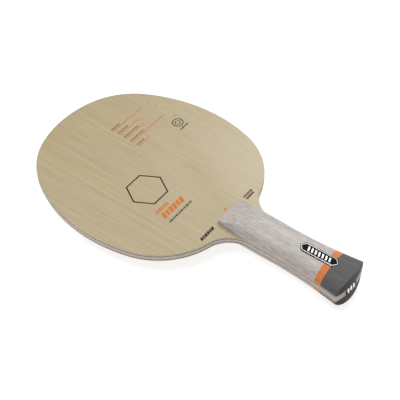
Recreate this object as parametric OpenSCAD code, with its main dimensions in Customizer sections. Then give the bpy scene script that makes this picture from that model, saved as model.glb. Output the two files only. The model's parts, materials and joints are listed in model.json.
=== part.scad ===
// Table tennis blade: seven-ply head and tongue, two flared handle halves,
// an inlaid badge on the front half and a small badge in the butt end.
// X is the width, +Y runs from the butt to the head tip, +Z leaves the front face.
// The origin is the middle of the overall box, on the middle of the core ply.

/* [Head] */
// Width of the head across its widest place
head_width = 150; // [145:1:155]
// Length of the head, from the tip to the front edge of the handle
head_length = 157; // [152:1:160]

/* [Plies] */
// Thickness of each outer veneer before its playing face is sanded
face_ply = 0.6; // [0.5:0.05:0.8]
// Thickness of each veneer between the outer veneer and the fibre
middle_ply = 0.6; // [0.5:0.05:0.8]
// Thickness of each woven fibre layer
fibre_ply = 0.35; // [0.2:0.05:0.4]
// Thickness of the core veneer
core_ply_depth = 2.9; // [2.4:0.1:3.6]
// Depth sanded off the outer veneer everywhere except at the handle
sanding = 0.1; // [0.05:0.05:0.2]

/* [Handle] */
// Length of the handle sides, from the butt corners to the front edge
side_length = 100; // [98:1:104]
// Width of the handle between its butt corners
butt_width = 35; // [33:0.5:36]
// Width of the handle at its waist
waist_width = 27.5; // [26.5:0.5:28]
// Width of the front edge of the handle
front_width = 25.4; // [24:0.2:26]
// Height of each handle half above the blade at the waist
waist_height = 8.5; // [8:0.25:9]
// Height of each handle half above the blade at the butt corners
butt_height = 10; // [9.25:0.25:10.5]
// How far the middle of the butt end stands out past its corners
butt_bulge = 3.3; // [2:0.1:4.5]
// Thickness of the front edge of each handle half
front_edge = 2.2; // [1.5:0.1:3]
// Slope of the front bevel, in degrees
bevel_slope = 17; // [15:1:20]
// Length of the dark block, from the butt corners to the coloured band
butt_block_length = 13.2; // [12:0.2:15]
// Length of the coloured band
band_length = 5.1; // [4:0.1:6]

/* [Handle badge] */
// Length of the handle badge between its points
badge_length = 30.4; // [28:0.2:31]
// Width of the handle badge
badge_width = 8.6; // [8:0.2:9]
// Distance from the butt corners to the middle of the handle badge
badge_place = 24.8; // [24:0.1:27]
// Number of teeth along each long side of the badge rim
rim_teeth = 20; // [14:1:24]

/* [Butt badge] */
// Length of the butt badge between its points
butt_badge_length = 13; // [11:0.5:14]
// Height of the butt badge
butt_badge_height = 8.6; // [7.5:0.1:9]
// Distance of the butt badge from the middle of the butt end
butt_badge_offset = -2.6; // [-3:0.1:3]

/* [Hidden] */

// Heights of the ply boundaries above the middle of the core.
core_top = core_ply_depth / 2;
fibre_top = core_top + fibre_ply;
middle_top = fibre_top + middle_ply;
blade_top = middle_top + face_ply;

// Places along Y.
total_length = head_length + side_length + butt_bulge;
tip_y = total_length / 2;
front_y = tip_y - head_length;
corner_y = front_y - side_length;
apex_y = -total_length / 2;

// The head outline is a chain of tangent arcs from the tip to the neck.
// Radii follow the half width, and each arc turns by the angle beside it.
half_head = head_width / 2;
head_arcs = [
    [1.121 * half_head, 18.6],
    [0.7925 * half_head, 42],
    [1.588 * half_head, 45.7]
];
shoulder_r = 0.7835 * half_head;
neck_r = 22.8;
arc_step = 3;

// Distances from the butt corners at which the handle side changes its curve.
waist_at = 50;
swell_at = 70;
taper_at = 82;
// Extra half width of the handle between the waist and its front taper.
swell = 0.35;
// Radius of the roll between the front bevel and the crest.
bevel_roll = 60;

section_steps = 24;
station_gap = 3.4;
overlap = 1;

function arc_steps(turn) = ceil(turn / arc_step);

// Points of an arc that starts at p with a heading of h degrees clockwise from +X
// and turns clockwise, or anticlockwise when the turn is negative. p is left out.
function arc_points(p, h, r, turn) =
    let (n = arc_steps(abs(turn)), side = sign(turn))
    [for (i = [1 : n])
        let (g = h + turn * i / n)
        p + side * r * [sin(g) - sin(h), cos(g) - cos(h)]];

function last(list) = list[len(list) - 1];

// Half width of the handle at a distance s from the butt corners.
half_waist = waist_width / 2;
function flare(s) = pow(max(waist_at - s, 0) / waist_at, 2);
function swelling(s) =
    let (t = min(max((s - waist_at) / (swell_at - waist_at), 0), 1))
    swell * (1 - cos(180 * t)) / 2;
function taper(s) = pow(max(s - taper_at, 0) / (side_length - taper_at), 2);
function half_width(s) =
    half_waist + (butt_width / 2 - half_waist) * flare(s) + swelling(s)
    - (half_waist + swell - front_width / 2) * taper(s);

// Height of the handle crest above the blade at a distance s from the butt corners.
function crest(s) = waist_height + (butt_height - waist_height) * flare(s);

// The butt end is one arc through both corners and the apex.
half_butt = butt_width / 2;
end_r = (half_butt * half_butt + butt_bulge * butt_bulge) / (2 * butt_bulge);
end_angle = asin(half_butt / end_r);
end_steps = 14;
end_arc = [for (i = [0 : end_steps])
    let (a = end_angle * (1 - i / end_steps))
    [end_r * sin(a), apex_y + end_r * (1 - cos(a))]];

// Right half of the head: the arc chain, the shoulder and the neck.
tip = [0, tip_y];
arc_a = arc_points(tip, 0, head_arcs[0][0], head_arcs[0][1]);
heading_a = head_arcs[0][1];
arc_b = arc_points(last(arc_a), heading_a, head_arcs[1][0], head_arcs[1][1]);
heading_b = heading_a + head_arcs[1][1];
arc_c = arc_points(last(arc_b), heading_b, head_arcs[2][0], head_arcs[2][1]);
heading_c = heading_b + head_arcs[2][1];
// The shoulder turns until the neck arc can end straight down the handle side.
tongue_x = half_waist + swell;
neck_sine = (tongue_x - last(arc_c)[0] + shoulder_r * sin(heading_c) + neck_r) / (shoulder_r + neck_r);
neck_heading = 180 - asin(neck_sine);
arc_d = arc_points(last(arc_c), heading_c, shoulder_r, neck_heading - heading_c);
arc_e = arc_points(last(arc_d), neck_heading, neck_r, 90 - neck_heading);
tongue_steps = 14;
tongue = [for (i = [0 : tongue_steps - 1])
    let (s = swell_at * (1 - i / tongue_steps))
    [half_width(s), corner_y + s]];

half_blade = concat([tip], arc_a, arc_b, arc_c, arc_d, arc_e, tongue, end_arc);

function mirrored(points) = [for (i = [len(points) - 2 : -1 : 1]) [-points[i][0], points[i][1]]];

module blade_outline() {
    polygon(concat(half_blade, mirrored(half_blade)));
}

// Outline of the strip left unsanded, which runs a little past the handle all round.
land_margin = 0.15;
side_steps = 28;
land_side = [for (i = [0 : side_steps])
    let (s = side_length * (1 - i / side_steps))
    [half_width(s) + land_margin, corner_y + s]];
land_front = front_y + land_margin;
half_land = concat(
    [[0, land_front], [front_width / 2 + land_margin, land_front]],
    land_side,
    [[half_butt + land_margin, apex_y - overlap], [0, apex_y - overlap]]);

module handle_land() {
    polygon(concat(half_land, mirrored(half_land)));
}

// An elongated hexagon with points at both ends of its length.
module hexagon(length, width, point) {
    x = width / 2;
    y = length / 2;
    polygon([[0, y], [x, y - point], [x, point - y], [0, -y], [-x, point - y], [-x, y - point]]);
}

// Badge depths, from the pocket floor outwards.
pad_depth = 0.2;
plate_depth = 0.7;
rim_depth = 0.25;
emblem_depth = 0.15;
badge_point = 3.2;
butt_badge_point = 2.6;

// The handle badge lies on the crest, tilted with it. The tilt is the slope of the
// crest line between the ends of the badge.
badge_low = badge_place - badge_length / 2;
badge_high = badge_place + badge_length / 2;
badge_tilt = atan((crest(badge_high) - crest(badge_low)) / badge_length);
badge_lift = (crest(badge_high) + crest(badge_low)) / 2 - 0.1;
pocket_floor = blade_top + badge_lift - pad_depth - plate_depth - rim_depth;

module on_handle_badge(height) {
    translate([0, corner_y + badge_place, pocket_floor])
        rotate([badge_tilt, 0, 0])
            translate([0, 0, height]) children();
}

module badge_pocket() {
    on_handle_badge(0) linear_extrude(waist_height) hexagon(badge_length, badge_width, badge_point);
}

// The butt badge lies in a pocket of the butt end, square to the end's arc.
butt_face_depth = 0.15;
butt_pocket_depth = butt_face_depth + plate_depth + pad_depth;

module on_butt_badge(height) {
    translate([0, apex_y + end_r, 0])
        rotate([0, 0, asin(butt_badge_offset / end_r)])
            translate([0, butt_pocket_depth - height - end_r, 0])
                rotate([90, 0, 0]) children();
}

module butt_pocket() {
    on_butt_badge(0)
        linear_extrude(butt_pocket_depth + overlap)
            rotate([0, 0, 90]) hexagon(butt_badge_length, butt_badge_height, butt_badge_point);
}

// One ply with the blade outline, between two heights.
module ply(bottom, top) {
    difference() {
        translate([0, 0, bottom]) linear_extrude(top - bottom) blade_outline();
        butt_pocket();
    }
}

module face_veneer() {
    difference() {
        union() {
            translate([0, 0, middle_top]) linear_extrude(face_ply - sanding) blade_outline();
            translate([0, 0, middle_top]) linear_extrude(face_ply) intersection() {
                blade_outline();
                handle_land();
            }
        }
        butt_pocket();
    }
}

// One cross-section of the handle at s: half an ellipse standing on the blade.
function section(s) = [for (i = [0 : section_steps])
    let (a = 180 * i / section_steps)
    [half_width(s) * cos(a), corner_y + s, blade_top + crest(s) * sin(a)]];

// Solid crown between two distances from the butt corners.
module crown(from, to) {
    n = ceil((to - from) / station_gap);
    ring = section_steps + 1;
    points = [for (k = [0 : n]) each section(from + (to - from) * k / n)];
    sides = [for (k = [0 : n - 1], i = [0 : section_steps - 1], half = [0, 1])
        let (a = k * ring + i, b = a + ring)
        half == 0 ? [a, a + 1, b + 1] : [a, b + 1, b]];
    base = [for (k = [0 : n - 1], half = [0, 1])
        let (a = k * ring, b = a + ring, c = b + section_steps, d = a + section_steps)
        half == 0 ? [a, b, c] : [a, c, d]];
    low_end = [for (i = [section_steps : -1 : 0]) i];
    high_end = [for (i = [0 : section_steps]) n * ring + i];
    polyhedron(points, concat(sides, base, [low_end, high_end]), convexity = 4);
}

// Region above the front bevel, swept across the handle.
bevel_run = (waist_height - front_edge) / tan(bevel_slope);
roll_tangent = bevel_roll * tan(bevel_slope / 2);
roll_steps = 8;
bevel_roll_points = [for (i = [0 : roll_steps])
    let (a = bevel_slope * (1 - i / roll_steps))
    [front_y - bevel_run - roll_tangent + bevel_roll * sin(a),
     blade_top + waist_height - bevel_roll * (1 - cos(a))]];
bevel_end = [front_y + overlap, blade_top + front_edge - overlap * tan(bevel_slope)];
clear_top = blade_top + waist_height + overlap;

module above_bevel() {
    profile = concat([bevel_end], bevel_roll_points,
        [[last(bevel_roll_points)[0], clear_top], [front_y + overlap, clear_top]]);
    translate([-half_butt, 0, 0]) rotate([90, 0, 90]) linear_extrude(butt_width) polygon(profile);
}

module grip_block() {
    difference() {
        crown(butt_block_length + band_length, side_length);
        above_bevel();
    }
}

module colour_band() {
    crown(butt_block_length, butt_block_length + band_length);
}

module butt_block() {
    difference() {
        intersection() {
            crown(-butt_bulge - overlap, butt_block_length);
            translate([0, apex_y + end_r, 0]) cylinder(r = end_r, h = 2 * butt_width, $fn = 180);
        }
        butt_pocket();
    }
}

module on_back() {
    mirror([0, 0, 1]) children();
}

module core_ply() {
    color("#b5a48c") ply(-core_top, core_top);
}

module front_fibre_ply() {
    color("#4b443f") ply(core_top, fibre_top);
}

module back_fibre_ply() {
    color("#4b443f") on_back() ply(core_top, fibre_top);
}

module front_middle_ply() {
    color("#a89c8e") ply(fibre_top, middle_top);
}

module back_middle_ply() {
    color("#a89c8e") on_back() ply(fibre_top, middle_top);
}

module front_face_veneer() {
    color("#c6b892") face_veneer();
}

module back_face_veneer() {
    color("#c6b892") on_back() face_veneer();
}

module front_grip_block() {
    color("#bdb6b1") difference() {
        grip_block();
        badge_pocket();
    }
}

module back_grip_block() {
    color("#bdb6b1") on_back() grip_block();
}

module front_colour_band() {
    color("#e07a3c") difference() {
        colour_band();
        badge_pocket();
    }
}

module back_colour_band() {
    color("#e07a3c") on_back() colour_band();
}

module front_butt_block() {
    color("#5b5c5b") difference() {
        butt_block();
        badge_pocket();
    }
}

module back_butt_block() {
    color("#5b5c5b") on_back() butt_block();
}

module handle_badge_pad() {
    color("#d9d4c4") on_handle_badge(0)
        linear_extrude(pad_depth) hexagon(badge_length, badge_width, badge_point);
}

module handle_badge_plate() {
    color("#17181a") on_handle_badge(pad_depth)
        linear_extrude(plate_depth) hexagon(badge_length, badge_width, badge_point);
}

// A raised rim on the plate. Slots cut from outside turn its long sides into teeth.
rim_inset = 0.5;
rim_width = 0.9;
rim_spine = 0.2;
rim_end_width = 0.4;
module handle_badge_rim() {
    outer_length = badge_length - 2.2 * rim_inset;
    outer_width = badge_width - 2 * rim_inset;
    straight = badge_length - 2 * badge_point;
    pitch = straight / (rim_teeth + 1);
    slot = 0.58 * pitch;
    color("#c9cbcc") on_handle_badge(pad_depth + plate_depth)
        linear_extrude(rim_depth) difference() {
            hexagon(outer_length, outer_width, badge_point);
            hexagon(outer_length - 2.2 * rim_end_width, outer_width - 2 * rim_width, badge_point - 0.6);
            for (side = [-1, 1], i = [0 : rim_teeth])
                translate([side * (outer_width / 2 - (rim_width - rim_spine) / 2 + overlap / 2),
                           (i - rim_teeth / 2) * pitch])
                    square([rim_width - rim_spine + overlap, slot], center = true);
        }
}

// A row of slanted bars along the middle of the plate.
emblem_bars = 7;
emblem_pitch = 2.75;
bar_width = 1.35;
bar_height = 3.6;
bar_slant = 1.1;
module slanted_bar(width, height, slant) {
    polygon([[-height / 2, -width / 2 - slant / 2], [-height / 2, width / 2 - slant / 2],
             [height / 2, width / 2 + slant / 2], [height / 2, -width / 2 + slant / 2]]);
}

module handle_badge_emblem() {
    color("#f2f2f0") on_handle_badge(pad_depth + plate_depth)
        linear_extrude(emblem_depth)
            for (i = [0 : emblem_bars - 1])
                translate([0, (i - (emblem_bars - 1) / 2) * emblem_pitch])
                    slanted_bar(bar_width, bar_height, bar_slant);
}

module butt_badge_pad() {
    color("#d9d4c4") on_butt_badge(0)
        linear_extrude(pad_depth)
            rotate([0, 0, 90]) hexagon(butt_badge_length, butt_badge_height, butt_badge_point);
}

module butt_badge_plate() {
    color("#17181a") on_butt_badge(pad_depth)
        linear_extrude(plate_depth)
            rotate([0, 0, 90]) hexagon(butt_badge_length, butt_badge_height, butt_badge_point);
}

butt_bars = 3;
butt_bar_pitch = 3.1;
butt_bar_width = 1.9;
butt_bar_height = 6.2;
butt_bar_slant = 1.6;
module butt_badge_emblem() {
    color("#f2f2f0") on_butt_badge(pad_depth + plate_depth)
        linear_extrude(emblem_depth)
            rotate([0, 0, 90])
                for (i = [0 : butt_bars - 1])
                    translate([0, (i - (butt_bars - 1) / 2) * butt_bar_pitch])
                        slanted_bar(butt_bar_width, butt_bar_height, butt_bar_slant);
}

core_ply();
front_fibre_ply();
back_fibre_ply();
front_middle_ply();
back_middle_ply();
front_face_veneer();
back_face_veneer();
front_grip_block();
back_grip_block();
front_colour_band();
back_colour_band();
front_butt_block();
back_butt_block();
handle_badge_pad();
handle_badge_plate();
handle_badge_rim();
handle_badge_emblem();
butt_badge_pad();
butt_badge_plate();
butt_badge_emblem();
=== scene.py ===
"""Studio scene of a bare table tennis blade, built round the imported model.

Shapes are worked out in millimetres in the model's own frame and turned into
metres when a mesh is finished. X runs across the head, +Y from the butt of the
handle to the tip of the head, and +Z out of the front face.
"""
import json
import math

import bmesh
import bpy
from mathutils import Matrix, Vector


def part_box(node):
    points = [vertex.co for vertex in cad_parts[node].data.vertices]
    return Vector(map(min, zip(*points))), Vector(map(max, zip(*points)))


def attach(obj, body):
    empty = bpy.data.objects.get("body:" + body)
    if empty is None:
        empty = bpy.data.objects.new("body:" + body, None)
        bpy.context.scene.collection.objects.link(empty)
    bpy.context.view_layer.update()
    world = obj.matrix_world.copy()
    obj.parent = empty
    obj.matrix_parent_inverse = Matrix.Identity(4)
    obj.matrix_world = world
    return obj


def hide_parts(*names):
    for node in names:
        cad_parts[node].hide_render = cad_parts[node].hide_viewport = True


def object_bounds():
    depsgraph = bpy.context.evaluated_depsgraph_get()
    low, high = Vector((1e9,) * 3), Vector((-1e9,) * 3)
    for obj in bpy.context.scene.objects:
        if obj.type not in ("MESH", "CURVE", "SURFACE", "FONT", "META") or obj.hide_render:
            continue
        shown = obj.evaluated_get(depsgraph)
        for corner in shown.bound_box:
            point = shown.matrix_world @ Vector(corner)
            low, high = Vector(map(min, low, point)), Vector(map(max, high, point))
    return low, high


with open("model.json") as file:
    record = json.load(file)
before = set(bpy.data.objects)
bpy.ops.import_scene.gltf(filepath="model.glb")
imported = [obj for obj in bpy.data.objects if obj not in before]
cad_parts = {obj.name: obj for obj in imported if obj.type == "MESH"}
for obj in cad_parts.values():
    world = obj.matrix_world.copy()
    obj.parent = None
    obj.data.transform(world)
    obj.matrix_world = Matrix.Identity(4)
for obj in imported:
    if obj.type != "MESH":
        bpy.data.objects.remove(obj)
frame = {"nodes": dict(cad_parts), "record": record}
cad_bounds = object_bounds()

MM = 0.001
QUARTER = math.pi / 2


# ---------------------------------------------------------------- sizes

def mm_box(node):
    """Lowest and highest corner of a CAD node, in millimetres."""
    low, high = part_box(node)
    return low / MM, high / MM


veneer_high = mm_box("front_face_veneer")[1]
grip_low, grip_high = mm_box("front_grip_block")
butt_low, butt_high = mm_box("back_butt_block")
BAND_Y = mm_box("front_colour_band")[0].y
GRIP_Y = grip_low.y
FRONT_Y = grip_high.y
TIP_Y = veneer_high.y
APEX_Y = butt_low.y
HALF_BUTT = butt_high.x
# The CAD mesh cuts the corner at the widest place of the head by less than 0.1 mm.
HALF_HEAD = round(veneer_high.x)

# Heights above the middle of the core ply.
CORE_TOP = mm_box("core_ply")[1].z
FIBRE_TOP = mm_box("front_fibre_ply")[1].z
MIDDLE_TOP = mm_box("front_middle_ply")[1].z
BLADE_TOP = veneer_high.z
FACE_TOP = frame["record"]["mounts"][0]["pos_m"][2] / MM

# Handle. s is the distance from the butt corners, in the direction of +Y.
BUTT_BULGE = 3.3
CORNER_Y = APEX_Y + BUTT_BULGE
SIDE_LENGTH = FRONT_Y - CORNER_Y
END_R = (HALF_BUTT ** 2 + BUTT_BULGE ** 2) / (2 * BUTT_BULGE)
HALF_WAIST = 13.75
HALF_FRONT = 12.7
WAIST_HEIGHT = 8.5
BUTT_HEIGHT = 10.0
WAIST_AT = 50
SWELL_AT = 70
TAPER_AT = 82
SWELL = 0.35
FRONT_EDGE = 2.2
BEVEL_SLOPE = math.radians(17)
BEVEL_ROLL = 60
# The crease between bevel and flank is crisp at the front and on the crest line. It softens over
# the fade length from the front, most of all low on the flanks.
CREASE_FRONT = 0.03
CREASE_BACK = 0.4
CREASE_FADE = 30

# Head outline: tangent arcs from the tip, as (radius, turn in degrees).
HEAD_ARCS = [
    (1.121 * HALF_HEAD, 18.6),
    (0.7925 * HALF_HEAD, 42),
    (1.588 * HALF_HEAD, 45.7),
]
SHOULDER_R = 0.7835 * HALF_HEAD
NECK_R = 22.8

# Softened edges. The one of the playing face fades out beside the neck.
FACE_ROUND = 0.3
FACE_ROUND_FADE = 12
BUTT_SIDE_ROUND = 1.2
BUTT_TOP_ROUND = 0.45
FRONT_ROUND = 0.45

# The unsanded land goes a little past the handle, and widens to that over a short stretch of the neck.
LAND_MARGIN = 0.15
LAND_WIDENING = 4

# Points this close are merged, edges this short dissolved, and edges blunter than this shaded smooth.
MERGE_DISTANCE = 1e-4
SLIVER_LENGTH = 0.003
SMOOTH_ANGLE = math.radians(32)


# ---------------------------------------------------------------- handle surface

def spread(start, stop, gap):
    """Evenly spaced values from start to stop, both included, at most gap apart."""
    count = math.ceil(abs(stop - start) / gap)
    return [start + (stop - start) * i / count for i in range(count + 1)]


def smooth_step(t):
    """Rises smoothly from 0 to 1 while t does."""
    t = min(max(t, 0), 1)
    return t * t * (3 - 2 * t)


def flare(s):
    """How much of the flare is left: 1 at the butt corners and 0 from the waist on."""
    return (max(WAIST_AT - s, 0) / WAIST_AT) ** 2


def half_width(s):
    """Half the handle's width at the blade: a waist, flared to the butt, swelling and then tapered."""
    swell_part = min(max((s - WAIST_AT) / (SWELL_AT - WAIST_AT), 0), 1)
    swelling = SWELL * (1 - math.cos(math.pi * swell_part)) / 2
    taper = (max(s - TAPER_AT, 0) / (SIDE_LENGTH - TAPER_AT)) ** 2
    flared = HALF_WAIST + (HALF_BUTT - HALF_WAIST) * flare(s)
    return flared + swelling - (HALF_WAIST + SWELL - HALF_FRONT) * taper


def crest(s):
    """Height of the crest above the blade, without the bevel."""
    return WAIST_HEIGHT + (BUTT_HEIGHT - WAIST_HEIGHT) * flare(s)


def bevel_height(s):
    """Height of the front bevel above the blade: a slope rolled over into the crest, which rises clear of
    the handle behind that."""
    slope = math.tan(BEVEL_SLOPE)
    run = (WAIST_HEIGHT - FRONT_EDGE) / slope
    tangent = BEVEL_ROLL * math.tan(BEVEL_SLOPE / 2)
    roll_start = SIDE_LENGTH - run - tangent
    roll_length = BEVEL_ROLL * math.sin(BEVEL_SLOPE)
    along = s - roll_start
    if along > roll_length:
        return FRONT_EDGE + (SIDE_LENGTH - s) * slope
    if along > 0:
        return WAIST_HEIGHT - BEVEL_ROLL + math.sqrt(BEVEL_ROLL ** 2 - along ** 2)
    return WAIST_HEIGHT + along ** 2 / BEVEL_ROLL


def smooth_min(a, b, k):
    """The smaller of a and b, blended where they are less than k apart."""
    h = max(k - abs(a - b), 0) / k
    return min(a, b) - h * h * k / 4


def section_point(s, turn):
    """(x, height above the blade) of the handle's surface at s. turn is 0 at the +X foot, a quarter turn
    on the crest and a half turn at the -X foot."""
    crown = crest(s) * math.sin(turn)
    softening = min(max(SIDE_LENGTH - s, 0) / CREASE_FADE, 1)
    crease = CREASE_FRONT + CREASE_BACK * softening * (1 - math.sin(turn) ** 6)
    return half_width(s) * math.cos(turn), smooth_min(crown, bevel_height(s), crease)


def section_normal(s, turn):
    """Outward direction of the section at a point, as its x and z."""
    step = 0.004
    x0, z0 = section_point(s, turn - step)
    x1, z1 = section_point(s, turn + step)
    length = math.hypot(x1 - x0, z1 - z0)
    return (z1 - z0) / length, (x0 - x1) / length


def end_y(x):
    """Y of the butt end's arc."""
    return APEX_Y + END_R - math.sqrt(END_R ** 2 - x ** 2)


def front_wall(x):
    """Y of the flat front end, which is the same for every x."""
    return FRONT_Y


def rolled_point(turn, roll, radius, wall, inward):
    """Point of the edge that rounds the handle's surface over into an end wall. roll goes from 0 to a
    quarter turn, and inward is the direction along Y from the wall into the handle. The section that
    the point lies on depends on the point itself, so s is settled in a few passes."""
    passes = 5
    inset = radius * (1 - math.cos(roll))
    gap = radius * (1 - math.sin(roll))
    s = 0.0 if wall is end_y else SIDE_LENGTH
    for _ in range(passes):
        x, z = section_point(s, turn)
        nx, nz = section_normal(s, turn)
        x -= nx * inset
        y = wall(x) + inward * gap
        s = y - CORNER_Y
    return Vector((x, y, BLADE_TOP + max(z - nz * inset, 0)))


def butt_radius(turn):
    """Radius of the butt's edge, which is larger beside the plies than on the crest."""
    return BUTT_TOP_ROUND + (BUTT_SIDE_ROUND - BUTT_TOP_ROUND) * math.cos(turn) ** 4


# ---------------------------------------------------------------- outlines

def arc(start, heading, radius, turn, step=1.0):
    """Points of an arc that leaves start at heading degrees clockwise from +X and turns clockwise, or
    the other way where turn is negative."""
    count = math.ceil(abs(turn) / step)
    side = math.copysign(1, turn)
    h = math.radians(heading)
    points = []
    for i in range(1, count + 1):
        g = h + math.radians(turn) * i / count
        away = Vector((math.sin(g) - math.sin(h), math.cos(g) - math.cos(h)))
        points.append(start + side * radius * away)
    return points


def head_side():
    """Right half of the head, from the tip to the place where the neck meets the handle's side."""
    points = [Vector((0, TIP_Y))]
    heading = 0
    for radius, turn in HEAD_ARCS:
        points += arc(points[-1], heading, radius, turn)
        heading += turn
    bend = math.sin(math.radians(heading))
    neck_sine = (HALF_WAIST + SWELL - points[-1].x + SHOULDER_R * bend + NECK_R) / (SHOULDER_R + NECK_R)
    neck_heading = 180 - math.degrees(math.asin(neck_sine))
    points += arc(points[-1], heading, SHOULDER_R, neck_heading - heading)
    points += arc(points[-1], neck_heading, NECK_R, 90 - neck_heading, 2.0)
    return points


def tongue_side(top_y):
    """Right side of the tongue from below top_y to the butt corner, and the butt end to its middle."""
    points = []
    start = top_y - CORNER_Y
    clear_of_corner = 0.6
    low = BUTT_SIDE_ROUND + clear_of_corner
    count = 44
    for i in range(1, count + 1):
        s = start + (low - start) * i / count
        points.append(Vector((half_width(s), CORNER_Y + s)))
    rolls = 8
    for i in range(rolls + 1):
        corner = rolled_point(0, QUARTER * i / rolls, BUTT_SIDE_ROUND, end_y, 1)
        points.append(corner.xy)
    steps = 16
    edge_x = points[-1].x
    for i in range(1, steps + 1):
        x = edge_x * (1 - i / steps)
        points.append(Vector((x, end_y(x))))
    return points


def mirror_x(points):
    """The same outline on the other side of the middle line, in reverse order."""
    return [Vector((-p.x, p.y)) for p in reversed(points)]


HEAD = head_side()
NECK_Y = HEAD[-1].y
TONGUE = tongue_side(NECK_Y)


def hexagon(length, width, point):
    """An elongated hexagon with points at both ends of its length, along Y."""
    x = width / 2
    y = length / 2
    return [(0, y), (-x, y - point), (-x, point - y), (0, -y), (x, point - y), (x, y - point)]


# ---------------------------------------------------------------- mesh tools

def add_face(bm, corners, smooth):
    """A face on the corners, without repeats. Flat faces are the ends, the seats and the plane tops."""
    face = bm.faces.new(list(dict.fromkeys(corners)))
    face.smooth = smooth


def strip(bm, a, b, smooth):
    """Quads between two rows of vertices of the same length."""
    for i in range(len(a) - 1):
        add_face(bm, (a[i], a[i + 1], b[i + 1], b[i]), smooth)


def fan(bm, loop, centre):
    """Flat triangles from a new centre vertex to a closed loop."""
    middle = bm.verts.new(centre)
    for i, corner in enumerate(loop):
        add_face(bm, (middle, corner, loop[(i + 1) % len(loop)]), False)


def finished_mesh(bm, name):
    """Closes a mesh that is still in millimetres: merged points and outward faces."""
    bmesh.ops.remove_doubles(bm, verts=bm.verts, dist=MERGE_DISTANCE)
    bmesh.ops.recalc_face_normals(bm, faces=bm.faces)
    mesh = bpy.data.meshes.new(name)
    bm.to_mesh(mesh)
    bm.free()
    return mesh


def linked(name, mesh):
    piece = bpy.data.objects.new(name, mesh)
    bpy.context.scene.collection.objects.link(piece)
    return piece


def evaluated_copy(piece):
    """A mesh of the piece with its modifiers or its curve settings worked out."""
    graph = bpy.context.evaluated_depsgraph_get()
    return bpy.data.meshes.new_from_object(piece.evaluated_get(graph))


def cut_with(mesh, cutter_mesh):
    """The mesh minus the cutter, without the slivers that the cut leaves."""
    body = linked("cut_body", mesh)
    cutter = linked("cut_tool", cutter_mesh)
    step = body.modifiers.new("cut", "BOOLEAN")
    step.operation = "DIFFERENCE"
    step.solver = "EXACT"
    step.object = cutter
    result = evaluated_copy(body)
    bpy.data.objects.remove(body)
    bpy.data.objects.remove(cutter)
    bpy.data.meshes.remove(mesh)
    bm = bmesh.new()
    bm.from_mesh(result)
    bmesh.ops.dissolve_degenerate(bm, edges=bm.edges, dist=SLIVER_LENGTH)
    bm.to_mesh(result)
    bm.free()
    return result


def add_piece(name, mesh, material, node=None):
    """Turns a millimetre mesh into a piece of the object that rides on its one body."""
    mesh.transform(Matrix.Scale(MM, 4))
    mesh.name = name
    mesh.set_sharp_from_angle(angle=SMOOTH_ANGLE)
    mesh.materials.clear()
    mesh.materials.append(material)
    piece = linked(name, mesh)
    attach(piece, "root")
    if node:
        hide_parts(node)


def flip_z(mesh):
    """Mirrors a front piece into its back twin."""
    mesh.transform(Matrix.Scale(-1, 4, Vector((0, 0, 1))))
    mesh.flip_normals()
    return mesh


def flat_shape(loops, height, soft=0.0):
    """A thin plate from closed loops of (x, y), standing on Z = 0, with its edges rounded by soft."""
    flat_slope = 0.99
    curve = bpy.data.curves.new("shape", "CURVE")
    curve.dimensions = "2D"
    curve.fill_mode = "BOTH"
    curve.extrude = height / 2 - soft
    curve.bevel_depth = soft
    curve.bevel_resolution = 2
    curve.offset = -soft
    for loop in loops:
        spline = curve.splines.new("POLY")
        spline.points.add(len(loop) - 1)
        for point, place in zip(spline.points, loop):
            point.co = (place[0], place[1], 0, 1)
        spline.use_cyclic_u = True
    shape = linked("shape", curve)
    raw = evaluated_copy(shape)
    bpy.data.objects.remove(shape)
    bpy.data.curves.remove(curve)
    bm = bmesh.new()
    bm.from_mesh(raw)
    bpy.data.meshes.remove(raw)
    bmesh.ops.translate(bm, verts=bm.verts, vec=(0, 0, height / 2))
    for face in bm.faces:
        face.smooth = abs(face.normal.z) < flat_slope
    return finished_mesh(bm, "shape")


def prism(outline, bottom, top):
    """An upright solid between two heights, over a closed outline."""
    bm = bmesh.new()
    low = [bm.verts.new((p[0], p[1], bottom)) for p in outline]
    high = [bm.verts.new((p[0], p[1], top)) for p in outline]
    strip(bm, low + low[:1], high + high[:1], True)
    add_face(bm, low, False)
    add_face(bm, high, False)
    return finished_mesh(bm, "prism")


# ---------------------------------------------------------------- badge places

# Both badges. Their parts overlap a little where one stands on another.
PAD_DEPTH = 0.2
PLATE_DEPTH = 0.7
RIM_DEPTH = 0.25
EMBLEM_DEPTH = 0.15
OVERLAP = 0.02
PLATE_SOFT = 0.08
RIM_SOFT = 0.06
EMBLEM_SOFT = 0.05
POCKET_GAP = 0.06

# Handle badge. Its middle is at BADGE_PLACE along the handle, and its rim lies just below the crest.
BADGE_LENGTH = 30.4
BADGE_WIDTH = 8.6
BADGE_POINT = 3.2
BADGE_PLACE = 24.8
BADGE_SINK = 0.1

badge_low = crest(BADGE_PLACE - BADGE_LENGTH / 2)
badge_high = crest(BADGE_PLACE + BADGE_LENGTH / 2)
BADGE_TILT = math.atan((badge_high - badge_low) / BADGE_LENGTH)
badge_crest = BLADE_TOP + (badge_high + badge_low) / 2
BADGE_FLOOR = badge_crest - BADGE_SINK - PAD_DEPTH - PLATE_DEPTH - RIM_DEPTH
ON_HANDLE = (
    Matrix.Translation((0, CORNER_Y + BADGE_PLACE, BADGE_FLOOR))
    @ Matrix.Rotation(BADGE_TILT, 4, "X")
)

# Butt badge, which lies across the plies, a little to one side of the middle of the butt end.
BUTT_BADGE_LENGTH = 13
BUTT_BADGE_HEIGHT = 8.6
BUTT_BADGE_POINT = 2.6
BUTT_BADGE_OFFSET = -2.6
BUTT_FACE_DEPTH = 0.15
BUTT_POCKET = BUTT_FACE_DEPTH + PLATE_DEPTH + PAD_DEPTH
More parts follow.
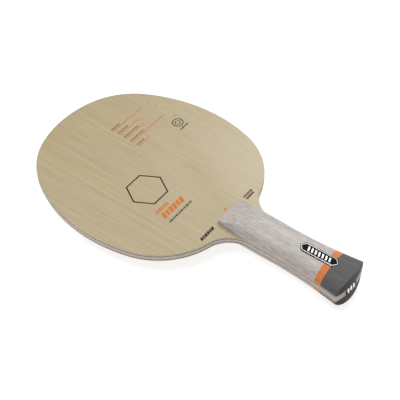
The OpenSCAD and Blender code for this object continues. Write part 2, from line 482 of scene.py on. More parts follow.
# It is turned about the centre of the end's arc, so that it lies square to the wood beside the middle too.
ON_BUTT = (
    Matrix.Translation((0, APEX_Y + END_R, 0))
    @ Matrix.Rotation(math.asin(BUTT_BADGE_OFFSET / END_R), 4, "Z")
    @ Matrix.Translation((0, BUTT_POCKET - END_R, 0))
    @ Matrix.Rotation(QUARTER, 4, "X")
    @ Matrix.Rotation(QUARTER, 4, "Z")
)


def handle_pocket():
    """Cutter for the handle badge's pocket, open upwards."""
    outline = hexagon(BADGE_LENGTH + 2 * POCKET_GAP, BADGE_WIDTH + 2 * POCKET_GAP, BADGE_POINT)
    tool = prism(outline, 0, WAIST_HEIGHT)
    tool.transform(ON_HANDLE)
    return tool


def butt_pocket():
    """Cutter for the butt badge's pocket, open towards the end."""
    length = BUTT_BADGE_LENGTH + 2 * POCKET_GAP
    height = BUTT_BADGE_HEIGHT + 2 * POCKET_GAP
    tool = prism(hexagon(length, height, BUTT_BADGE_POINT), 0, 2 * BUTT_POCKET)
    tool.transform(ON_BUTT)
    return tool


# ---------------------------------------------------------------- plies

def plain_ply(bottom, top):
    """An inner ply with straight edges: the head and the tongue in one."""
    right = HEAD + TONGUE
    outline = right + mirror_x(right[1:-1])
    return cut_with(prism(outline, bottom, top), butt_pocket())


def land_side():
    """Right edge of the strip left unsanded at the handle, from the neck to the handle's front."""
    neck = NECK_Y - CORNER_Y
    stations = spread(neck, neck + LAND_WIDENING, 1)[1:] + spread(TAPER_AT, SIDE_LENGTH, 1)
    points = []
    for s in stations:
        margin = LAND_MARGIN * smooth_step((s - neck) / LAND_WIDENING)
        points.append(Vector((half_width(s) + margin, CORNER_Y + s)))
    points.append(Vector((HALF_FRONT + LAND_MARGIN, FRONT_Y + LAND_MARGIN)))
    return points


def face_veneer():
    """The outer veneer: a sanded playing face with a softened edge, and the unsanded land of the handle."""
    head = mirror_x(HEAD[1:]) + HEAD
    rings = 5
    bm = bmesh.new()

    def row(points, z):
        return [bm.verts.new((p.x, p.y, z)) for p in points]

    # The edge of the head, straight up and then rounded over into the face.
    levels = [row(head, MIDDLE_TOP)]
    for k in range(rings + 1):
        roll = QUARTER * k / rings
        level = []
        for i, place in enumerate(head):
            way = (head[min(i + 1, len(head) - 1)] - head[max(i - 1, 0)]).normalized()
            soft = FACE_ROUND * smooth_step((place.y - NECK_Y) / FACE_ROUND_FADE)
            inner = place - Vector((-way.y, way.x)) * soft * (1 - math.cos(roll))
            level.append(bm.verts.new((inner.x, inner.y, FACE_TOP - soft * (1 - math.sin(roll)))))
        levels.append(level)
    for low, high in zip(levels, levels[1:]):
        strip(bm, low, high, True)

    # The edge of the tongue.
    tongue = [HEAD[-1]] + TONGUE[:-1] + mirror_x(TONGUE) + [head[0]]
    tongue_rows = [row(tongue, z) for z in (MIDDLE_TOP, FACE_TOP, BLADE_TOP)]
    for low, high in zip(tongue_rows, tongue_rows[1:]):
        strip(bm, low, high, True)

    # The step from the sanded face up to the land.
    land = [HEAD[-1]] + land_side() + mirror_x(land_side()) + [head[0]]
    land_low = row(land, FACE_TOP)
    land_high = row(land, BLADE_TOP)
    strip(bm, land_low, land_high, False)

    # The sanded face, the top of the land, and the underside.
    add_face(bm, levels[-1] + land_low[1:-1], False)
    add_face(bm, land_high[-2:0:-1] + tongue_rows[-1], False)
    add_face(bm, levels[0] + tongue_rows[0][1:-1], False)
    return cut_with(finished_mesh(bm, "veneer"), butt_pocket())


# ---------------------------------------------------------------- handle blocks

TURN_STEPS = 95
TURNS = [math.pi * i / TURN_STEPS for i in range(TURN_STEPS + 1)]

# Distances between the rings of a block. They are closer together on the bevel.
RING_GAP = 2.0
BAND_RING_GAP = 1.3
BEVEL_RING_GAP = 0.5
BEVEL_LENGTH = 34


def surface_point(y, turn):
    """Point of the handle's surface at y. The smoothing of the crease never takes it into the blade."""
    x, z = section_point(y - CORNER_Y, turn)
    return Vector((x, y, BLADE_TOP + max(z, 0)))


def straight_ring(y):
    """The handle's section in the plane at y."""
    return [surface_point(y, turn) for turn in TURNS]


def block_mesh(rings, wall=None):
    """A closed block from rings that run foot, crest, foot. wall holds the lower points of a curved end."""
    bm = bmesh.new()
    grid = [[bm.verts.new(p) for p in ring] for ring in rings]
    for a, b in zip(grid, grid[1:]):
        strip(bm, a, b, True)
        add_face(bm, (a[0], b[0], b[-1], a[-1]), False)
    fan(bm, grid[0], rings[0][0].lerp(rings[0][-1], 0.5) + Vector((0, 0, FRONT_EDGE / 2)))
    if wall is None:
        fan(bm, grid[-1], rings[-1][0].lerp(rings[-1][-1], 0.5) + Vector((0, 0, FRONT_EDGE / 2)))
    else:
        foot = [grid[-1][0]] + [bm.verts.new(p) for p in wall[1:-1]] + [grid[-1][-1]]
        strip(bm, grid[-1], foot, True)
        fan(bm, foot, wall[0].lerp(wall[-1], 0.5) - Vector((0, BUTT_BULGE / 3, 0)))
    return finished_mesh(bm, "block")


def grip_block():
    bevel_start = FRONT_Y - BEVEL_LENGTH
    rings = [straight_ring(y) for y in spread(GRIP_Y, bevel_start, RING_GAP)]
    rings += [straight_ring(y) for y in spread(bevel_start, FRONT_Y - FRONT_ROUND, BEVEL_RING_GAP)[1:]]
    rolls = 6
    for i in range(1, rolls + 1):
        roll = QUARTER * i / rolls
        rings.append([rolled_point(turn, roll, FRONT_ROUND, front_wall, -1) for turn in TURNS])
    return block_mesh(rings)


def colour_band():
    return block_mesh([straight_ring(y) for y in spread(BAND_Y, GRIP_Y, BAND_RING_GAP)])


def butt_block():
    """The rings go over from the flat seam at the band to the bowed edge of the butt end."""
    edge = [rolled_point(turn, 0, butt_radius(turn), end_y, 1) for turn in TURNS]
    rings = [straight_ring(BAND_Y)]
    steps = 10
    for i in range(1, steps):
        places = [BAND_Y + (end.y - BAND_Y) * i / steps for end in edge]
        rings.append([surface_point(y, turn) for y, turn in zip(places, TURNS)])
    rolls = 7
    for i in range(rolls + 1):
        roll = QUARTER * i / rolls
        rings.append([rolled_point(turn, roll, butt_radius(turn), end_y, 1) for turn in TURNS])
    wall = [Vector((p.x, p.y, BLADE_TOP)) for p in rings[-1]]
    return cut_with(block_mesh(rings, wall), butt_pocket())


# ---------------------------------------------------------------- badges

# Rim of the handle badge. RIM_SPINE is the width left where it is cut between two teeth, and
# POINT_SHIFT is what each millimetre of inset takes off the length between the points.
RIM_TEETH = 20
RIM_GAP_SHARE = 0.58
RIM_INSET = 0.5
RIM_WIDTH = 0.9
RIM_SPINE = 0.2
RIM_END_WIDTH = 0.4
RIM_INNER_POINT = 2.6
POINT_SHIFT = 2.2


def rim_outline():
    """Outer loop of the rim, whose long sides are cut into teeth from outside."""
    length = BADGE_LENGTH - POINT_SHIFT * RIM_INSET
    half = BADGE_WIDTH / 2 - RIM_INSET
    spine = half - RIM_WIDTH + RIM_SPINE
    pitch = (BADGE_LENGTH - 2 * BADGE_POINT) / (RIM_TEETH + 1)
    slot = RIM_GAP_SHARE * pitch
    side = []
    for i in range(RIM_TEETH + 1):
        middle = (i - RIM_TEETH / 2) * pitch
        side += [(half, middle - slot / 2), (spine, middle - slot / 2)]
        side += [(spine, middle + slot / 2), (half, middle + slot / 2)]
    corner = (half, length / 2 - BADGE_POINT)
    right = [(half, -corner[1])] + side + [corner]
    left = [(-x, -y) for x, y in right]
    return right + [(0, length / 2)] + left + [(0, -length / 2)]


def slanted_bars(count, pitch, width, height, slant):
    """Loops of a row of slanted bars along Y. Each is width long in Y and height long in X."""
    loops = []
    for i in range(count):
        y = (i - (count - 1) / 2) * pitch
        loops.append([
            (-height / 2, y - width / 2 - slant / 2),
            (height / 2, y - width / 2 + slant / 2),
            (height / 2, y + width / 2 + slant / 2),
            (-height / 2, y + width / 2 - slant / 2),
        ])
    return loops


def handle_badge():
    plate = flat_shape([hexagon(BADGE_LENGTH, BADGE_WIDTH, BADGE_POINT)], PLATE_DEPTH, PLATE_SOFT)
    plate.transform(ON_HANDLE @ Matrix.Translation((0, 0, PAD_DEPTH)))
    add_piece("badge_plate", plate, BLACK_ENAMEL, "handle_badge_plate")

    on_plate = ON_HANDLE @ Matrix.Translation((0, 0, PAD_DEPTH + PLATE_DEPTH - OVERLAP))
    inner_length = BADGE_LENGTH - POINT_SHIFT * (RIM_INSET + RIM_END_WIDTH)
    inner_width = BADGE_WIDTH - 2 * (RIM_INSET + RIM_WIDTH)
    inner = hexagon(inner_length, inner_width, RIM_INNER_POINT)
    rim = flat_shape([rim_outline(), inner], RIM_DEPTH + OVERLAP, RIM_SOFT)
    rim.transform(on_plate)
    add_piece("badge_rim", rim, RIM_METAL, "handle_badge_rim")

    bars = slanted_bars(count=7, pitch=2.75, width=1.35, height=3.6, slant=1.1)
    emblem = flat_shape(bars, EMBLEM_DEPTH + OVERLAP, EMBLEM_SOFT)
    emblem.transform(on_plate)
    add_piece("badge_emblem", emblem, WHITE_ENAMEL, "handle_badge_emblem")


def butt_badge():
    outline = hexagon(BUTT_BADGE_LENGTH, BUTT_BADGE_HEIGHT, BUTT_BADGE_POINT)
    plate = flat_shape([outline], PLATE_DEPTH, PLATE_SOFT)
    plate.transform(ON_BUTT @ Matrix.Translation((0, 0, PAD_DEPTH)))
    add_piece("butt_plate", plate, BLACK_ENAMEL, "butt_badge_plate")

    bars = slanted_bars(count=3, pitch=3.1, width=1.9, height=6.2, slant=1.6)
    emblem = flat_shape(bars, EMBLEM_DEPTH + OVERLAP, EMBLEM_SOFT)
    emblem.transform(ON_BUTT @ Matrix.Translation((0, 0, PAD_DEPTH + PLATE_DEPTH - OVERLAP)))
    add_piece("butt_emblem", emblem, WHITE_ENAMEL, "butt_badge_emblem")


# ---------------------------------------------------------------- prints

INK_DEPTH = 0.03
INK_SINK = 0.01
WORD_SLANT = 0.25


def bar(x, v, width, height, slant=0.0):
    """Loop of a bar whose lower left corner is at x and v, the distance past the handle's front edge."""
    lean = slant * height
    return [(x, v), (x + width, v), (x + width + lean, v + height), (x + lean, v + height)]


def word(x, stop, v, height, pattern, gap, slant=WORD_SLANT):
    """Loops of a row of bars from x to stop. The widths follow the pattern, over and over."""
    loops = []
    while x < stop:
        width = pattern[len(loops) % len(pattern)]
        loops.append(bar(x, v, width, height, slant))
        x += width + gap
    return loops


def ring_loops(x, v, radius, width, count):
    """Outer and inner loop of a ring with count sides. Its middle is at x and v."""
    outer = []
    inner = []
    for i in range(count):
        a = 2 * math.pi * i / count
        way = Vector((math.cos(a), math.sin(a)))
        outer.append((x + radius * way.x, v + radius * way.y))
        inner.append((x + (radius - width) * way.x, v + (radius - width) * way.y))
    return [outer, inner]


def add_print(name, loops, material):
    ink = flat_shape(loops, INK_DEPTH + INK_SINK)
    ink.transform(Matrix.Translation((0, FRONT_Y, FACE_TOP - INK_SINK)))
    add_piece("print_" + name, ink, material)


def print_title():
    """The large mark, and the lines of bars under it."""
    left = -32.2
    mark = ring_loops(x=-18, v=59.3, radius=15.6, width=1.2, count=6)
    add_print("mark", mark, BLACK_INK)
    subtitle = word(left, stop=-19, v=38.1, height=2.8, pattern=(1.4, 0.9, 1.8), gap=0.55)
    add_print("subtitle", subtitle, ORANGE_INK)
    title = word(left, stop=-9.5, v=31.3, height=4.9, pattern=(3.0, 2.5, 3.4), gap=0.9, slant=0.35)
    add_print("title", title, ORANGE_INK)
    line = word(x=-32.4, stop=-8, v=26.1, height=1.9, pattern=(0.7, 1.2, 0.6, 0.9), gap=0.65)
    add_print("line", line, BLACK_INK)


def print_table():
    """Five rows near the tip. Each has a faint label, an orange line and a dot past its end."""
    left = 12.4
    first_row = 117.4
    row_pitch = 6.36
    rows = [(9.5, 34), (12, 21.5), (15.5, 22), (15.5, 38.5), (7.5, 13.5)]
    labels = []
    bars = []
    dots = []
    for i, (label_width, bar_width) in enumerate(rows):
        v = first_row - row_pitch * i
        labels += word(left, left + label_width, v + 1.2, height=1.3, pattern=(0.5, 0.8, 0.4), gap=0.45)
        bars.append(bar(left, v - 0.4, bar_width, height=0.75))
        dots.append(bar(53.9, v - 1.4, width=0.7, height=0.8))
    add_print("labels", labels, FAINT_INK)
    add_print("bars", bars, FAINT_ORANGE_INK)
    add_print("dots", dots, FAINT_INK)


def print_stamp():
    """A ring round a square, with a line of bars beside it."""
    stamp_x = 49.9
    stamp_v = 84.4
    stamp = ring_loops(stamp_x, stamp_v, radius=4.5, width=0.75, count=40)
    stamp += ring_loops(stamp_x, stamp_v, radius=2.9, width=0.8, count=4)
    add_print("stamp", stamp, BLACK_INK)
    line = word(x=44.9, stop=54, v=77.3, height=1.2, pattern=(1.0, 0.6, 1.2), gap=0.3)
    add_print("stamp_line", line, BLACK_INK)


def print_neck():
    """The small prints beside the handle's front edge."""
    left = word(x=-32.6, stop=-18.5, v=-1.5, height=2.5, pattern=(2.1, 1.5, 2.4), gap=0.45, slant=0.4)
    add_print("left_word", left, BLACK_INK)
    right = word(x=17.6, stop=26.2, v=-1.6, height=1.7, pattern=(0.8, 1.1, 0.7), gap=0.35)
    right += word(x=17.6, stop=26.2, v=-4.0, height=1.7, pattern=(1.1, 0.7, 0.9), gap=0.35)
    add_print("right_words", right, BLACK_INK)
    add_print("chevron", [[(-1.4, 2.2), (1.7, 4.8), (1.5, 2.3)]], ORANGE_INK)


# ---------------------------------------------------------------- materials

# How far resin has soaked into a ply from the fibre layer beside it.
RESIN_REACH = 0.3

# Depths of the bumps, in metres.
GROOVE_DEPTH = 0.04 * MM
WEAVE_DEPTH = 0.03 * MM
RUB_DEPTH = 0.01 * MM


def new_material(name):
    """A material with its Principled shader, and its node tree."""
    material = bpy.data.materials.new(name)
    material.use_nodes = True
    tree = material.node_tree
    shader = tree.nodes["Principled BSDF"]
    return material, tree, shader


def place_texture(tree, scale):
    """Object coordinates, in metres, times scale."""
    coordinates = tree.nodes.new("ShaderNodeTexCoord")
    mapping = tree.nodes.new("ShaderNodeMapping")
    mapping.inputs["Scale"].default_value = scale
    tree.links.new(coordinates.outputs["Object"], mapping.inputs["Vector"])
    return mapping.outputs["Vector"]


def noise(tree, scale, detail, distortion=0.0, roughness=0.5):
    """Cloudy noise, whose scale along each axis is in cycles per metre."""
    texture = tree.nodes.new("ShaderNodeTexNoise")
    texture.inputs["Scale"].default_value = 1.0
    texture.inputs["Detail"].default_value = detail
    texture.inputs["Distortion"].default_value = distortion
    texture.inputs["Roughness"].default_value = roughness
    tree.links.new(place_texture(tree, scale), texture.inputs["Vector"])
    return texture.outputs["Fac"]


def math_node(tree, operation, a, b):
    node = tree.nodes.new("ShaderNodeMath")
    node.operation = operation
    for socket, value in zip(node.inputs, (a, b)):
        if isinstance(value, (int, float)):
            socket.default_value = value
        else:
            tree.links.new(value, socket)
    return node.outputs[0]


def ramp(tree, factor, stops):
    """A colour ramp. stops are (place, linear colour)."""
    node = tree.nodes.new("ShaderNodeValToRGB")
    elements = node.color_ramp.elements
    while len(elements) < len(stops):
        elements.new(0.5)
    for element, (place, colour) in zip(elements, stops):
        element.position = place
        element.color = (*colour, 1)
    tree.links.new(factor, node.inputs["Fac"])
    return node.outputs["Color"]


def spread_range(tree, factor, low, high, to_low, to_high):
    """Runs from to_low to to_high while factor goes from low to high."""
    node = tree.nodes.new("ShaderNodeMapRange")
    for name, value in zip(("From Min", "From Max", "To Min", "To Max"), (low, high, to_low, to_high)):
        node.inputs[name].default_value = value
    tree.links.new(factor, node.inputs["Value"])
    return node.outputs["Result"]


def mix_colour(tree, factor, a, b):
    """Runs from a to b while factor goes from 0 to 1. Each is a fixed value or another node's output."""
    node = tree.nodes.new("ShaderNodeMix")
    node.data_type = "RGBA"
    sockets = [node.inputs["Factor"], node.inputs[6], node.inputs[7]]
    for socket, value in zip(sockets, (factor, a, b)):
        if isinstance(value, (int, float)):
            socket.default_value = value
        elif isinstance(value, tuple):
            socket.default_value = (*value, 1)
        else:
            tree.links.new(value, socket)
    return node.outputs[2]


def bump(tree, shader, height, depth):
    node = tree.nodes.new("ShaderNodeBump")
    node.inputs["Distance"].default_value = depth
    node.inputs["Strength"].default_value = 1.0
    tree.links.new(height, node.inputs["Height"])
    tree.links.new(node.outputs["Normal"], shader.inputs["Normal"])


def shade(colour, factor):
    """The colour made lighter or darker."""
    return tuple(min(part * factor, 1) for part in colour)


def surface_side(tree, axis, low, high, to_low, to_high):
    """Runs from to_low to to_high as the surface turns to face along an axis of the object, either way.
    low and high are the sizes of its normal's part along that axis."""
    coordinates = tree.nodes.new("ShaderNodeTexCoord")
    facing = tree.nodes.new("ShaderNodeSeparateXYZ")
    tree.links.new(coordinates.outputs["Normal"], facing.inputs[0])
    turned = math_node(tree, "ABSOLUTE", facing.outputs[axis], 0)
    return spread_range(tree, turned, low, high, to_low, to_high)


def resin_stain(tree, strength):
    """Strength of the dark stain on a ply's edge beside a fibre layer, where the resin has soaked in."""
    coordinates = tree.nodes.new("ShaderNodeTexCoord")
    place = tree.nodes.new("ShaderNodeSeparateXYZ")
    tree.links.new(coordinates.outputs["Object"], place.inputs[0])
    height = math_node(tree, "ABSOLUTE", place.outputs["Z"], 0)
    fibre_middle = MM * (FIBRE_TOP + CORE_TOP) / 2
    fibre_half = MM * (FIBRE_TOP - CORE_TOP) / 2
    away = math_node(tree, "ABSOLUTE", math_node(tree, "SUBTRACT", height, fibre_middle), 0)
    return spread_range(tree, away, fibre_half, fibre_half + MM * RESIN_REACH, strength, 0)


def wood(name, colour, tint, contrast, width, pore, satin, along=(1, 0.04, 1), specular=0.5, end_dye_and_shade_tone=0.85,
         side_cover=0.0, resin=0.0):
    """Straight-grained wood. tint is the colour of its warmer patches and contrast the strength of its
    streaks, width mm wide. pore is the strength of the short dark pores, and satin the roughness. along
    stretches it all along the grain. The end tone darkens the faces that look along Y: partly the end
    grain, which drinks more of the dye, and partly painted shade on the ends. side_cover is how much of the
    cut sides shows the grey-brown of handled ply, and resin how dark the stain is beside a fibre layer."""
    material, tree, shader = new_material(name)
    across = 1 / (MM * width)

    def grain(fineness, detail, distortion=0.0, roughness=0.5):
        scale = [fineness * across * a for a in along]
        return noise(tree, scale, detail, distortion, roughness)

    wide = grain(0.35, detail=2.0, distortion=0.3)
    streaks = grain(1, detail=4.0, distortion=0.2, roughness=0.6)
    fine = grain(3.5, detail=2.0)
    # The pores are short dashes, so they are stretched less than the streaks.
    pore_scale = [(3.2 if a > 0.5 else 9) * across * a for a in along]
    dash = noise(tree, pore_scale, detail=2.0)
    tone = math_node(tree, "ADD", math_node(tree, "MULTIPLY", streaks, 0.7),
                     math_node(tree, "MULTIPLY", fine, 0.3))
    layers = []
    for base in (colour, tint):
        stops = [(0.25, shade(base, 1 - contrast)), (0.5, base), (0.75, shade(base, 1 + contrast))]
        layers.append(ramp(tree, tone, stops))
    patches = spread_range(tree, wide, 0.38, 0.64, 0, 1)
    mixed = mix_colour(tree, patches, *layers)
    pores = spread_range(tree, dash, 0.58, 0.7, 0, pore)
    mixed = mix_colour(tree, pores, mixed, shade(tint, 0.4))
    if side_cover:
        covered = surface_side(tree, "Z", 0.5, 0.8, side_cover, 0)
        mixed = mix_colour(tree, covered, mixed, PLY_SIDE)
    if resin:
        mixed = mix_colour(tree, resin_stain(tree, resin), mixed, RESIN)
    # Faces that look along Y are darkened: partly end grain that takes more dye, partly painted shade on
    # the ends.
    end_dye_and_shade = surface_side(tree, "Y", 0.7, 0.9, 0, 1 - end_dye_and_shade_tone)
    tree.links.new(mix_colour(tree, end_dye_and_shade, mixed, (0.0, 0.0, 0.0)), shader.inputs["Base Color"])
    gloss = spread_range(tree, streaks, 0.3, 0.7, satin - 0.05, satin + 0.07)
    tree.links.new(gloss, shader.inputs["Roughness"])
    shader.inputs["Specular IOR Level"].default_value = specular
    grooves = math_node(tree, "SUBTRACT", streaks, math_node(tree, "MULTIPLY", pores, 0.8))
    bump(tree, shader, grooves, GROOVE_DEPTH)
    return material


def fibre_weave(name):
    """Woven dark fibre, seen from its cut edge."""
    material, tree, shader = new_material(name)
    threads = tree.nodes.new("ShaderNodeTexWave")
    threads.inputs["Scale"].default_value = 1.0
    threads.inputs["Distortion"].default_value = 0.6
    tree.links.new(place_texture(tree, (900, 900, 2400)), threads.inputs["Vector"])
    speck = noise(tree, (2500, 2500, 5000), 3.0)
    tone = math_node(tree, "ADD", math_node(tree, "MULTIPLY", threads.outputs["Fac"], 0.5),
                     math_node(tree, "MULTIPLY", speck, 0.5))
    stops = [(0.2, (0.008, 0.007, 0.006)), (0.55, (0.018, 0.015, 0.012)), (0.9, (0.05, 0.042, 0.035))]
    tree.links.new(ramp(tree, tone, stops), shader.inputs["Base Color"])
    tree.links.new(spread_range(tree, speck, 0.3, 0.7, 0.4, 0.65), shader.inputs["Roughness"])
    shader.inputs["Specular IOR Level"].default_value = 0.1
    bump(tree, shader, tone, WEAVE_DEPTH)
    return material


def enamel(name, low, high, satin, metallic=0.0, specular=0.5):
    """A smooth painted or metal skin with a faint unevenness and fine rubbing marks. satin is its
    roughness."""
    material, tree, shader = new_material(name)
    cloud = noise(tree, (260, 260, 260), 3.0)
    rub = noise(tree, (1500, 5200, 1500), 2.0)
    tree.links.new(ramp(tree, cloud, [(0.3, low), (0.7, high)]), shader.inputs["Base Color"])
    gloss = spread_range(tree, rub, 0.3, 0.7, satin - 0.06, satin + 0.08)
    tree.links.new(gloss, shader.inputs["Roughness"])
    shader.inputs["Metallic"].default_value = metallic
    shader.inputs["Specular IOR Level"].default_value = specular
    bump(tree, shader, math_node(tree, "ADD", cloud, math_node(tree, "MULTIPLY", rub, 0.3)), RUB_DEPTH)
    return material


def brushed_metal(name):
    """Dull metal, with its shine drawn out one way."""
    material = enamel(name, (0.26, 0.26, 0.265), (0.36, 0.36, 0.365), satin=0.38, metallic=1.0)
    shader = material.node_tree.nodes["Principled BSDF"]
    shader.inputs["Anisotropic"].default_value = 0.4
    return material


def ink(name, colour, veneer, cover):
    """Screen-printed ink, thin enough for some of the veneer to show through it. cover is how well it
    hides the veneer."""
    material, tree, shader = new_material(name)
    streaks = noise(tree, (1800, 120, 1800), 4.0, 0.2, 0.6)
    speck = noise(tree, (3500, 3500, 3500), 2.0)
    gaps = math_node(tree, "MULTIPLY", spread_range(tree, streaks, 0.45, 0.8, 0, 1), 1 - cover)
    thin = math_node(tree, "ADD", gaps, 0.6 * (1 - cover))
    tree.links.new(mix_colour(tree, thin, colour, veneer), shader.inputs["Base Color"])
    tree.links.new(spread_range(tree, speck, 0.3, 0.7, 0.42, 0.6), shader.inputs["Roughness"])
    shader.inputs["Specular IOR Level"].default_value = 0.1
    bump(tree, shader, speck, RUB_DEPTH)
    return material


def floor_paint(name):
    """Pale matt paint that glows a little, so that the floor is nearly white."""
    material, tree, shader = new_material(name)
    cloud = noise(tree, (9, 9, 9), 3.0)
    tree.links.new(ramp(tree, cloud, [(0.3, (0.42, 0.42, 0.42)), (0.7, (0.45, 0.45, 0.45))]),
                   shader.inputs["Base Color"])
    shader.inputs["Roughness"].default_value = 0.9
    shader.inputs["Specular IOR Level"].default_value = 0.1
    shader.inputs["Emission Color"].default_value = (1, 1, 1, 1)
    shader.inputs["Emission Strength"].default_value = 0.74
    return material


VENEER = (0.326, 0.262, 0.149)
PLY_SIDE = (0.37, 0.325, 0.28)
RESIN = (0.05, 0.035, 0.025)
FACE_WOOD = wood("face_wood", VENEER, (0.341, 0.271, 0.148), contrast=0.18, width=1.15, pore=0.17,
                 satin=0.4, along=(1, 0.025, 1), side_cover=0.75)
GRIP_WOOD = wood("grip_wood", (0.37, 0.346, 0.33), (0.345, 0.303, 0.272), contrast=0.5, width=0.7,
                 pore=0.4, satin=0.42, along=(1, 0.1, 1), specular=0.45)
BAND_WOOD = wood("band_wood", (0.49, 0.125, 0.028), (0.54, 0.17, 0.045), contrast=0.45, width=1.0,
                 pore=0.35, satin=0.5, along=(1, 0.25, 1), specular=0.25)
# The butt's ends get the strongest darkening: partly dyed end grain, partly painted shade.
BUTT_WOOD = wood("butt_wood", (0.09, 0.09, 0.088), (0.082, 0.081, 0.082), contrast=0.25, width=1.5,
                 pore=0.2, satin=0.5, along=(1, 0.1, 1), specular=0.1, end_dye_and_shade_tone=0.27)
CORE_WOOD = wood("core_wood", (0.46, 0.405, 0.355), (0.42, 0.355, 0.30), contrast=0.4, width=0.9,
                 pore=0.4, satin=0.6, along=(0.5, 0.3, 1), end_dye_and_shade_tone=1.0, resin=0.7)
MIDDLE_WOOD = wood("middle_wood", (0.46, 0.405, 0.355), (0.42, 0.36, 0.305), contrast=0.4, width=0.8,
                   pore=0.3, satin=0.6, along=(0.5, 0.3, 1), end_dye_and_shade_tone=1.0, resin=0.7)
FIBRE = fibre_weave("fibre")
ADHESIVE = enamel("adhesive", (0.5, 0.48, 0.42), (0.6, 0.57, 0.5), satin=0.5)
BLACK_ENAMEL = enamel("black_enamel", (0.004, 0.004, 0.005), (0.007, 0.007, 0.008), satin=0.5,
                      specular=0.03)
WHITE_ENAMEL = enamel("white_enamel", (0.84, 0.84, 0.83), (0.89, 0.89, 0.88), satin=0.4, specular=0.3)
RIM_METAL = brushed_metal("rim_metal")
BLACK_INK = ink("black_ink", (0.012, 0.01, 0.008), VENEER, cover=0.97)
FAINT_INK = ink("faint_ink", (0.02, 0.018, 0.015), VENEER, cover=0.75)
ORANGE_INK = ink("orange_ink", (0.5, 0.135, 0.02), VENEER, cover=0.95)
FAINT_ORANGE_INK = ink("faint_orange_ink", (0.5, 0.14, 0.03), VENEER, cover=0.85)


# ---------------------------------------------------------------- the object

def add_plies():
    """The core, and each layer on its front and back."""
    layers = [
        ("fibre", CORE_TOP, FIBRE_TOP, FIBRE, "fibre"),
        ("middle", FIBRE_TOP, MIDDLE_TOP, MIDDLE_WOOD, "middle_wood"),
    ]
    add_piece("core", plain_ply(-CORE_TOP, CORE_TOP), CORE_WOOD, "core_ply")
    for name, bottom, top, material, slot in layers:
        front = plain_ply(bottom, top)
        add_piece("front_" + name, front, material, "front_" + name + "_ply")
        back = flip_z(plain_ply(bottom, top))
        add_piece("back_" + name, back, material, "back_" + name + "_ply")
    add_piece("front_veneer", face_veneer(), FACE_WOOD, "front_face_veneer")
    add_piece("back_veneer", flip_z(face_veneer()), FACE_WOOD, "back_face_veneer")


def add_handle():
    """Three blocks on each side. Only the front ones are cut for the handle badge."""
    blocks = [
        ("grip", "grip_block", grip_block, GRIP_WOOD, "grip_wood"),
        ("colour", "colour_band", colour_band, BAND_WOOD, "band_wood"),
        ("butt", "butt_block", butt_block, BUTT_WOOD, "butt_wood"),
    ]
    for name, node, build, material, slot in blocks:
        front = cut_with(build(), handle_pocket())
        add_piece("front_" + name, front, material, "front_" + node)
        add_piece("back_" + name, flip_z(build()), material, "back_" + node)


def finish_pads():
    """The hidden adhesive pads keep their CAD shape."""
    for node in ("handle_badge_pad", "butt_badge_pad"):
        mesh = frame["nodes"][node].data
        mesh.materials.clear()
        mesh.materials.append(ADHESIVE)


# ---------------------------------------------------------------- studio

# Where the camera stands, seen from its target. Azimuth 0 is at -Y and 90 at -X.
CAMERA_AZIMUTH = math.radians(52.52)
CAMERA_ELEVATION = math.radians(48.29)
CAMERA_ROLL = math.radians(-0.29)
CAMERA_DISTANCE = 0.720
CAMERA_TARGET = Vector((-0.00104, -0.00258, 0))
CAMERA_LENS = 90.45


def add_camera():
    """A long lens that looks down on the front face from beside the handle."""
    data = bpy.data.cameras.new("camera")
    data.sensor_width = 36
    data.lens = CAMERA_LENS
    data.clip_start = 0.02
    data.clip_end = 20
    camera = bpy.data.objects.new("camera", data)
    bpy.context.scene.collection.objects.link(camera)
    away = Vector((
        -math.sin(CAMERA_AZIMUTH) * math.cos(CAMERA_ELEVATION),
        -math.cos(CAMERA_AZIMUTH) * math.cos(CAMERA_ELEVATION),
        math.sin(CAMERA_ELEVATION),
    ))
    right = Vector((0, 0, 1)).cross(away).normalized()
    up = away.cross(right)
    turned_right = math.cos(CAMERA_ROLL) * right + math.sin(CAMERA_ROLL) * up
    turned_up = away.cross(turned_right)
    turn = Matrix((turned_right, turned_up, away)).transposed().to_4x4()
    camera.matrix_world = Matrix.Translation(CAMERA_TARGET + CAMERA_DISTANCE * away) @ turn
    bpy.context.scene.camera = camera


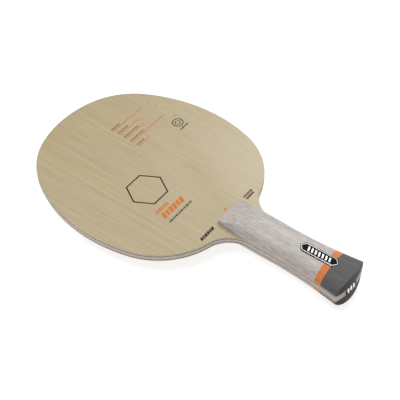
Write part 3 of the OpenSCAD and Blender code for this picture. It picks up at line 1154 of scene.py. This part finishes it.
def add_sun(name, azimuth, elevation, strength, width):
    """A soft distant light, width degrees wide. Azimuth 0 shines from +Y and 90 from +X."""
    data = bpy.data.lights.new(name, "SUN")
    data.energy = strength
    data.angle = math.radians(width)
    light = bpy.data.objects.new(name, data)
    bpy.context.scene.collection.objects.link(light)
    a = math.radians(azimuth)
    e = math.radians(elevation)
    towards = Vector((math.sin(a) * math.cos(e), math.cos(a) * math.cos(e), math.sin(e)))
    light.rotation_mode = "QUATERNION"
    light.rotation_quaternion = towards.to_track_quat("Z", "Y")


def add_world():
    """A dim even dome for light, which the camera sees as plain white."""
    world = bpy.data.worlds.new("studio")
    world.use_nodes = True
    tree = world.node_tree
    dome = tree.nodes["Background"]
    dome.inputs["Color"].default_value = (1, 1, 1, 1)
    dome.inputs["Strength"].default_value = 0.45
    seen = tree.nodes.new("ShaderNodeBackground")
    seen.inputs["Color"].default_value = (1, 1, 1, 1)
    paths = tree.nodes.new("ShaderNodeLightPath")
    mix = tree.nodes.new("ShaderNodeMixShader")
    tree.links.new(paths.outputs["Is Camera Ray"], mix.inputs[0])
    tree.links.new(dome.outputs[0], mix.inputs[1])
    tree.links.new(seen.outputs[0], mix.inputs[2])
    tree.links.new(mix.outputs[0], tree.nodes["World Output"].inputs["Surface"])
    bpy.context.scene.world = world


def add_floor():
    """A wide floor just below the lowest point of the object."""
    half = 3.0
    gap = 0.02 * MM
    level = cad_bounds[0].z - gap
    bm = bmesh.new()
    corners = [(-half, -half), (half, -half), (half, half), (-half, half)]
    bm.faces.new([bm.verts.new((x, y, level)) for x, y in corners])
    mesh = bpy.data.meshes.new("floor")
    bm.to_mesh(mesh)
    bm.free()
    mesh.materials.append(floor_paint("floor_paint"))
    linked("floor", mesh)


add_camera()
add_world()
add_floor()
add_sun("overhead_light", azimuth=-10, elevation=68, strength=1.9, width=40)
add_sun("sheen_light", azimuth=73, elevation=43, strength=1.35, width=22)
add_sun("fill_light", azimuth=-112, elevation=30, strength=0.3, width=60)
bpy.context.scene.view_settings.view_transform = "Standard"

add_plies()
add_handle()
handle_badge()
butt_badge()
finish_pads()
print_title()
print_table()
print_stamp()
print_neck()
